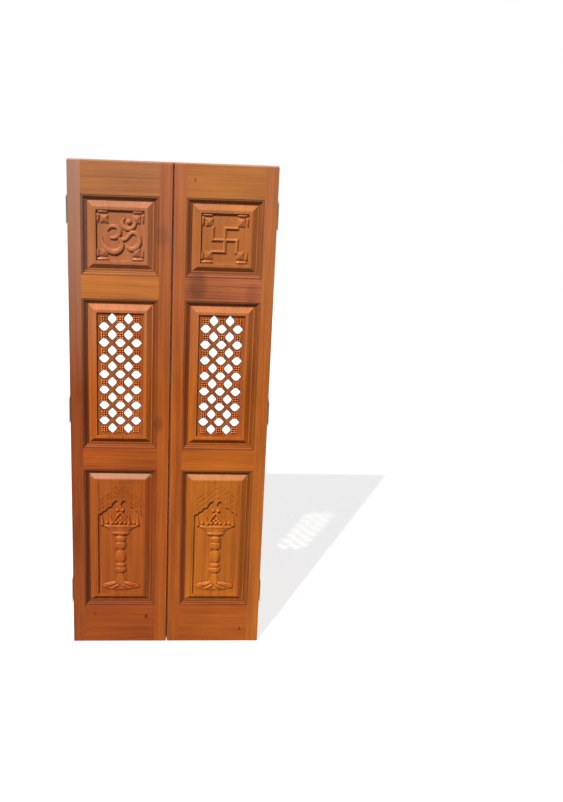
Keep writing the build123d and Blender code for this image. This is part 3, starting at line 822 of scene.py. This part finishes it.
ground = FACE + NICHE
parts = [turned_body("bowl_and_stem", LAMP, ground)]
for i, x in enumerate(FLAMES_X):
    deselect()
    bpy.ops.mesh.primitive_cone_add(vertices=16, radius1=8.5 * MM, radius2=1.2 * MM,
                                    depth=44 * MM, location=(x * MM, (ground - 1.5) * MM,
                                                             (CROWN - FLAME_DROP) * MM))
    parts.append(name_it("flame%d" % i))
for i, x in enumerate(HOOD_BALLS_X):
    parts.append(ball("hood_ball%d" % i, x, ground - 1, CROWN - 46, 8, 9))
for i in range(7):
    parts.append(ball("bud%d" % i, (i - 3) * BUD_PITCH, ground - 1, CROWN - 102, 8, 8.5))
for name, line in (("hood_left", HOOD_LEFT), ("hood_right", HOOD_RIGHT)):
    parts.append(stroke(name, [(x, CROWN - drop, half) for x, drop, half in line],
                        ground, 1.7))
for i, (x, drop) in enumerate(SEEDS):
    parts.append(ball("seed%d" % i, x, ground - 1, CROWN - drop, 6.5, 8))
parts.append(push("foot", [(x, CROWN - drop) for x, drop in FOOT], ground + 2, ground - 5))
for side in (-1, 1):
    for i, (x0, drop0, x1, drop1, width) in enumerate(PETALS):
        parts.append(leaf("petal%d%d" % (side, i), (side * x0, CROWN - drop0),
                          (side * x1, CROWN - drop1), width, 7, ground - 3.5))
lamp = fuse(parts, "lamp_carving", 1.0, ground, smooth=1)


GOUGE_MIDDLE, GOUGE_RELIEF = 2.6, 3.4      # below the face, and from there to its bottom


def gouge(x, z, length, lean, width):
    """Boat-shaped cut of a gouge in the field above the arch."""
    deselect()
    bpy.ops.mesh.primitive_ico_sphere_add(
        subdivisions=1, radius=1, location=(x * MM, (FACE + GOUGE_MIDDLE) * MM, z * MM),
        rotation=(0, radians(lean), 0),
        scale=(width / 2 * MM, GOUGE_RELIEF * MM, length / 2 * MM))
    return settle()


def lamp_board(name, gouges):
    """Raised board with a sunk field, a niche under the scalloped arch and gouged shoulders."""
    piece = raised_board(name, *LOWER, slope=19.5)
    edit(piece)
    pick_field(LOWER[0])
    bpy.ops.mesh.inset(thickness=1.2 * MM)
    bpy.ops.mesh.inset(thickness=1.2 * MM, depth=-2.0 * MM)
    bpy.ops.mesh.inset(thickness=1.0 * MM, depth=1.2 * MM)
    done()
    side = list(ARCH) + [(FIELD / 2, 130),
                         (FIELD / 2, CROWN - (LOWER[0] - LOWER[1] / 2 + CREST_END))]
    right = [(x, CROWN - drop) for x, drop in side]
    left = [(-x, z) for x, z in right[:0:-1]]
    cut(piece, push("arch_cutter", right + left, FACE - 5, FACE + NICHE))
    marks = [gouge(*g) for g in gouges]
    cut(piece, join(marks, "gouges"), crossing=True)
    return soften(piece, 0.5, segments=1)


def above_arch(x):
    """Height of the arch's edge at x."""
    x = abs(x)
    for (x0, d0), (x1, d1) in zip(ARCH, ARCH[1:]):
        if x0 <= x <= x1:
            return CROWN - d0 - (d1 - d0) * (x - x0) / max(x1 - x0, 0.1)
    return CROWN - ARCH[-1][1]


def hatch(columns, first, pitch, sway, lift, row_pitch, wander, lengths, leans, widths, top):
    """Gouge cuts in columns of three above the arch: x, z, length, lean, width."""
    gouges = []
    for column in range(columns):
        x = first + column * pitch + rng.uniform(-sway, sway)
        for row in range(3):
            z = above_arch(x) + lift + row * row_pitch + rng.uniform(-wander, wander)
            length = rng.uniform(*lengths)
            if z + length / 2 < CROWN + top:
                gouges.append((x, z, length, rng.uniform(*leans), rng.uniform(*widths)))
    return gouges


left_gouges = hatch(columns=24, first=-80, pitch=7, sway=1.5, lift=15, row_pitch=20, wander=4,
                    lengths=(13, 22), leans=(-4, 4), widths=(2.6, 3.6), top=74)
right_gouges = hatch(columns=18, first=-77, pitch=9, sway=1, lift=18, row_pitch=23, wander=2,
                     lengths=(20, 30), leans=(34, 44), widths=(3.6, 4.8), top=76)

opening_top = LOWER[0] + LOWER[1] / 2
for side, gouges, polish, look in (
        ("left", left_gouges, 0.40, dict(deep="#7A3412", mid="#AA541B", pale="#C26824",
                                         shift=(12, 61, 30))),
        ("right", right_gouges, 0.22, dict(deep="#863E14", mid="#B6641C", pale="#CF7A26",
                                           shift=(-51, 18, 85)))):
    node = side + "_lamp_panel"
    place = leaf_place(side)
    board = lamp_board(side + "_lamp_flat", gouges)
    # Painted reflection on the top bevel of each lamp board; polish is its strength
    painted_bevel_sheen = (opening_top - SKY_BEVEL[0], opening_top - SKY_BEVEL[1], polish)
    flat_wood = teak("teak_" + node, painted_bevel_sheen=painted_bevel_sheen, **look)
    lamp_wood = teak("teak_" + node + "_carving", painted_shading=relief_shade(ground), **look)
    dress(copy_of(board, node + "_board", place), node, flat_wood,
          side + "_leaf")
    dress(copy_of(lamp, node + "_carving", place), node, lamp_wood,
          side + "_leaf")
    bpy.data.objects.remove(board)
bpy.data.objects.remove(lamp)


# Lattices: a pierced board whose bars are chamfered, with beads on every second crossing

COLUMNS, ROWS = 5, 15
STEP_X = FIELD / (COLUMNS + 0.8)
STEP_Z = (MIDDLE[1] - 2 * CREST_END) / (ROWS + 0.7)
BAR_WIDTH = 14.0
BAR_SLANT = 0.71                 # a bar's width, measured upright or level, is this share more
ROSETTE_RADIUS = 14.4
LATTICE_THICKNESS = 11.0
LATTICE_LAP = 7.0                # edge of the board behind its frame
LAP_PLAY = 0.5
THROAT_DEPTH = 4.5               # where a hole's flared mouth ends, behind the bars' front
HOLE_CORNER = 2.5
HOLE_MOUTH = (1.30, 1, 1.28)     # size of the mouth against the throat
front = FACE + 11                # y of the bars' front


def hole(name, reach_x, reach_z, flat_x, flat_z):
    """Cutter for one hole about x = z = 0: an eight-sided outline with rounded corners."""
    corners = [(0, reach_z), (flat_x, flat_z), (reach_x, 0), (flat_x, -flat_z), (0, -reach_z),
               (-flat_x, -flat_z), (-reach_x, 0), (-flat_x, flat_z)]
    push(name, corners, front + THROAT_DEPTH, front + LATTICE_THICKNESS + 2)
    edit(bpy.context.object)
    pick("EDGE", lambda e: (e.verts[0].co - e.verts[1].co).xz.length < 1e-6)
    bpy.ops.mesh.bevel(offset=HOLE_CORNER * MM, segments=2)
    pick("FACE", lambda f: f.normal.y < -0.9)
    extrude(y=-THROAT_DEPTH - 1)
    bpy.ops.transform.resize(value=HOLE_MOUTH, center_override=(0, 0, 0))
    return done()


side_reach = STEP_X - ROSETTE_RADIUS
end_reach = STEP_Z - ROSETTE_RADIUS
tall = hole("tall_hole", side_reach + 0.5, STEP_Z - BAR_WIDTH * BAR_SLANT,
            side_reach - 1.5, 6.5)
broad = hole("broad_hole", STEP_X - BAR_WIDTH * BAR_SLANT, end_reach + 0.5,
             6.5, end_reach - 1.5)
beads = []
for i in range(8):
    turn = radians(45 * i)
    reach = 12.0 if i % 2 else 9.0
    beads.append(bead("bead%d" % i, reach * cos(turn), front - 0.5, reach * sin(turn),
                      3.4, 6.0))
beads.append(bead("middle_bead", 0, front - 1, 0, 3.6, 6.5))
deselect()
bpy.ops.mesh.primitive_cylinder_add(vertices=12, radius=14.2 * MM, depth=1.8 * MM,
                                    location=(0, (front - 0.4) * MM, 0),
                                    rotation=(radians(90), 0, 0))
settle()
beads.append(name_it("rosette_ground"))
rosette = join(beads, "rosette")
cutters, blooms = [], []
for row in range(ROWS):
    for column in range(COLUMNS):
        place = ((column - (COLUMNS - 1) / 2) * STEP_X, 0,
                 MIDDLE[0] + (row - (ROWS - 1) / 2) * STEP_Z)
        if row % 2 and not column % 2:
            cutters.append(copy_of(broad, "cutter_%d_%d" % (row, column), place))
        elif column % 2 and not row % 2:
            cutters.append(copy_of(tall, "cutter_%d_%d" % (row, column), place))
        elif not row % 2:
            blooms.append(copy_of(rosette, "flower_%d_%d" % (row, column), place))
rosettes = join(blooms, "rosettes")
half_width = FIELD / 2 + LATTICE_LAP - LAP_PLAY
half_height = (MIDDLE[1] - 2 * CREST_END) / 2 + LATTICE_LAP - LAP_PLAY
pierced = block("pierced_board", (-half_width, front, MIDDLE[0] - half_height),
                (half_width, front + LATTICE_THICKNESS, MIDDLE[0] + half_height))
cut(pierced, join(cutters, "cutters"), crossing=True)
soften(pierced, 0.5)
for side in ("left", "right"):
    node = side + "_lattice"
    place = leaf_place(side)
    shift = (14 if side == "left" else 71, 27, 50)
    # Painted shade by depth: the bars' fronts a little darker, the holes' throats much darker,
    # the back lighter again
    wood = teak("teak_" + node, deep="#7A341C", mid="#B25E28", pale="#CC783C", shift=shift,
                painted_shading=((front + 0.3, 0.80), (front + 4, 0.14), (front + 9, 0.3),
                       (front + LATTICE_THICKNESS, 0.9)))
    # Painted highlight on the beads' tops and painted shade on the ground between them
    beaded = teak("teak_" + node + "_beads", deep="#7A301C", mid="#C0642A", pale="#DE8E48",
                  shift=shift, painted_shading=((front - 5, 2.2), (front - 1.3, 0.24)))
    dress(copy_of(pierced, node + "_board", place), node, wood,
          side + "_leaf")
    dress(copy_of(rosettes, node + "_rosettes", place), node, beaded,
          side + "_leaf")
for spare in (tall, broad, rosette, rosettes, pierced):
    bpy.data.objects.remove(spare)


# Hinges

steel = brushed_steel("brushed_stainless_steel")
ARRIS = {"_plate": 0.25, "_pin": 0.25, "_screws": 0.1}
for node in frame["nodes"]:
    for ending, width in ARRIS.items():
        if node.endswith(ending):
            body = frame["nodes"][node]["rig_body"]
            dress(scraped(node, node + "_steel", width), node, steel, body)


# Floor, light and air

def seen_by_eye(tree):
    """1 for a ray that comes from the camera, also by way of metal or glass."""
    path = add(tree, "LightPath")
    seen = add(tree, "Math", {0: path.outputs["Is Camera Ray"],
                              1: path.outputs["Is Glossy Ray"]}, operation="MAXIMUM")
    seen = add(tree, "Math", {0: seen.outputs[0], 1: path.outputs["Is Transmission Ray"]},
               operation="MAXIMUM")
    return seen.outputs[0]


def sunlight(place, source, energy, spread):
    """Sun in the direction of source; spread is the width of its disc in degrees."""
    bpy.ops.object.light_add(type="SUN", location=place)
    light = bpy.context.object
    light.rotation_euler = Vector(source).to_track_quat("Z", "Y").to_euler()
    light.data.energy = energy
    light.data.angle = radians(spread)


deselect()
bpy.ops.mesh.primitive_plane_add(size=1, location=(0, 1.5, 0))
settle((12, 9, 1))
floor = name_it("floor")
material, tree = fresh("pale_studio_floor")
# Seen by the eye it is pale; the light that it throws back is held low, as on a dark stage
matt = add(tree, "BsdfDiffuse", {"Color": linear("#EDEDEB")})
glow = add(tree, "Emission", {"Color": (1, 1, 1, 1), "Strength": 1.25})
pale = add(tree, "MixShader", {0: 0.55, 1: matt.outputs[0], 2: glow.outputs[0]})
dull = add(tree, "BsdfDiffuse", {"Color": linear("#343433")})
mix = add(tree, "MixShader", {0: seen_by_eye(tree), 1: dull.outputs[0], 2: pale.outputs[0]})
add(tree, "OutputMaterial", {"Surface": mix.outputs[0]})
floor.data.materials.append(material)

world = bpy.data.worlds.new("studio")
scene.world = world
world.use_nodes = True
tree = world.node_tree
tree.nodes.clear()
level = add(tree, "MapRange", {"Value": seen_by_eye(tree), "To Min": 0.07, "To Max": 1.0})
sky = add(tree, "Background", {"Color": (1, 1, 1, 1), "Strength": level.outputs["Result"]})
add(tree, "OutputWorld", {"Surface": sky.outputs[0]})

# Sun from the upper left, and a wide soft light from behind for the backs and the open door
sunlight((-2.0, -3.7, 4.0), source=(-5, -10, 11.6), energy=4.45, spread=1.2)
sunlight((2.5, 4.0, 4.0), source=(5, 8, 5), energy=2.2, spread=25)

# Soft panel behind the camera, which shines in the upper bevels
place = Vector((-0.2, -4.6, 5.3))
bpy.ops.object.light_add(type="AREA", location=place)
soft_panel = bpy.context.object
soft_panel.rotation_euler = (Vector((0, 0, 1.2)) - place).to_track_quat("-Z", "Y").to_euler()
soft_panel.data.shape = "RECTANGLE"
soft_panel.data.size = 2.4
soft_panel.data.size_y = 1.2
soft_panel.data.energy = 10

scene.view_settings.view_transform = "Standard"
